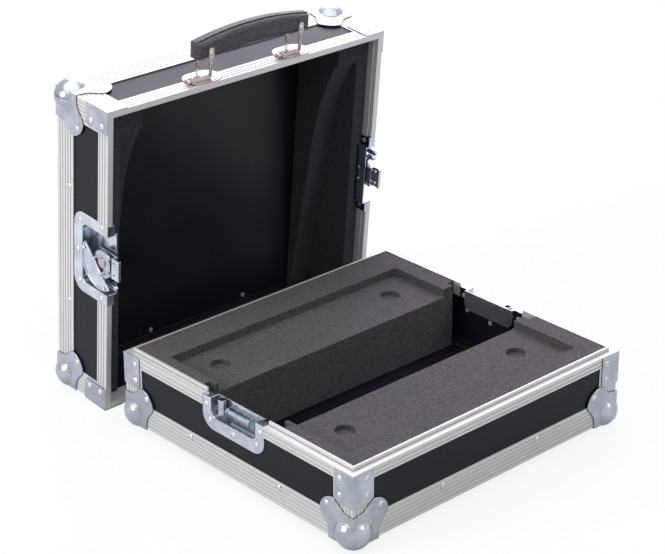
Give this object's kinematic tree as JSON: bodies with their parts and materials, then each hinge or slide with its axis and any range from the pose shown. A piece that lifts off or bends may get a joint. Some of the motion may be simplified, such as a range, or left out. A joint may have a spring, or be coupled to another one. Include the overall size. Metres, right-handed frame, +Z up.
{
  "type": "sampling pad flight case",
  "caption": "Flight case for a sampling pad: aluminium-edged tray with shaped foam and a lift-off lid with carry handle and recessed butterfly latches.",
  "frame": {"origin": "middle of the outline of the tray and the lid behind it, on the floor under the ball corners", "axes": "+X to the right along the front wall, +Y from the front of the tray to the lid behind it, +Z up"},
  "size_m": [0.4374, 0.542, 0.4449],
  "materials": {
    "black_laminate": "fine-textured phenolic laminate on plywood",
    "aluminium_profile": "satin anodised, grooved",
    "zinc_steel": "bright zinc plate",
    "rivet": "plain",
    "nickel": "nickel plate",
    "foam": "closed-cell foam, speckled charcoal",
    "handle_black": "moulded, semi-gloss"
  },
  "bodies": {
    "base": {"base_panel_front": "black_laminate", "base_panel_back": "black_laminate", "base_panel_left": "black_laminate", "base_panel_right": "black_laminate", "base_panel_bottom": "black_laminate", "base_rim_front": "aluminium_profile", "base_rim_back": "aluminium_profile", "base_rim_left": "aluminium_profile", "base_rim_right": "aluminium_profile", "base_edge_front": "aluminium_profile", "base_edge_back": "aluminium_profile", "base_edge_left": "aluminium_profile", "base_edge_right": "aluminium_profile", "base_corner_angles": "aluminium_profile", "base_ball_corners": "zinc_steel", "base_corner_braces": "zinc_steel", "base_rivets": "rivet", "base_foam_front": "foam", "base_foam_back": "foam", "left_catch_dish": "zinc_steel", "right_catch_dish": "zinc_steel", "left_keeper": "zinc_steel", "right_keeper": "zinc_steel", "alignment_sleeves": "zinc_steel"},
    "lid": {"lid_panel_foot": "black_laminate", "lid_panel_handle": "black_laminate", "lid_panel_left": "black_laminate", "lid_panel_right": "black_laminate", "lid_panel_top": "black_laminate", "lid_rim_foot": "aluminium_profile", "lid_rim_handle": "aluminium_profile", "lid_rim_left": "aluminium_profile", "lid_rim_right": "aluminium_profile", "lid_edge_foot": "aluminium_profile", "lid_edge_handle": "aluminium_profile", "lid_edge_left": "aluminium_profile", "lid_edge_right": "aluminium_profile", "lid_corner_angles": "aluminium_profile", "lid_ball_corners": "zinc_steel", "lid_corner_braces": "zinc_steel", "lid_rivets": "rivet", "lid_foam_left": "foam", "lid_foam_right": "foam", "left_latch_dish": "zinc_steel", "right_latch_dish": "zinc_steel", "left_latch_post": "zinc_steel", "right_latch_post": "zinc_steel", "alignment_pegs": "zinc_steel", "handle_plates": "nickel"},
    "handle": {"handle_grip": "handle_black", "handle_bails": "nickel", "handle_pins": "nickel"},
    "left_rotor": {"left_latch_rotor": "zinc_steel", "left_wing_pin": "zinc_steel"},
    "left_wing": {"left_latch_wing": "zinc_steel"},
    "left_hook": {"left_latch_hook": "zinc_steel"},
    "right_rotor": {"right_latch_rotor": "zinc_steel", "right_wing_pin": "zinc_steel"},
    "right_wing": {"right_latch_wing": "zinc_steel"},
    "right_hook": {"right_latch_hook": "zinc_steel"}
  },
  "joints": [
    {"name": "lid_lift", "type": "slide", "parent": "base", "child": "lid", "axis": [0, 0, 1], "range_m": [0, 0.3]},
    {"name": "handle_fold", "type": "hinge", "parent": "lid", "child": "handle", "pos_m": [0.0055, 0.14178, 0.39146], "axis": [1, 0, 0], "range_deg": [0, 80]},
    {"name": "left_rotor_turn", "type": "hinge", "parent": "lid", "child": "left_rotor", "pos_m": [-0.2076, 0.16394, 0.19506], "axis": [-1, 0, 0], "range_deg": [-45, 135]},
    {"name": "left_hook_slide", "type": "slide", "parent": "lid", "child": "left_hook", "axis": [-0.3714, -0.9247, -0.084], "range_m": [-0.00148, 0.00445]},
    {"name": "left_wing_fold", "type": "hinge", "parent": "left_rotor", "child": "left_wing", "pos_m": [-0.2102, 0.17085, 0.1893], "axis": [0, 0.6403, 0.7682], "range_deg": [0, 85]},
    {"name": "right_rotor_turn", "type": "hinge", "parent": "lid", "child": "right_rotor", "pos_m": [0.2076, 0.16394, 0.19506], "axis": [1, 0, 0], "range_deg": [-45, 135]},
    {"name": "right_hook_slide", "type": "slide", "parent": "lid", "child": "right_hook", "axis": [0.3714, -0.9247, -0.084], "range_m": [-0.00148, 0.00445]},
    {"name": "right_wing_fold", "type": "hinge", "parent": "right_rotor", "child": "right_wing", "pos_m": [0.2102, 0.1697, 0.20197], "axis": [0, 0.7682, -0.6403], "range_deg": [0, 85]}
  ],
  "couplings": [
    {"joint": "left_hook_slide", "follows": "left_rotor_turn", "m_per_rad": 0.0018856},
    {"joint": "right_hook_slide", "follows": "right_rotor_turn", "m_per_rad": 0.0018856}
  ]
}
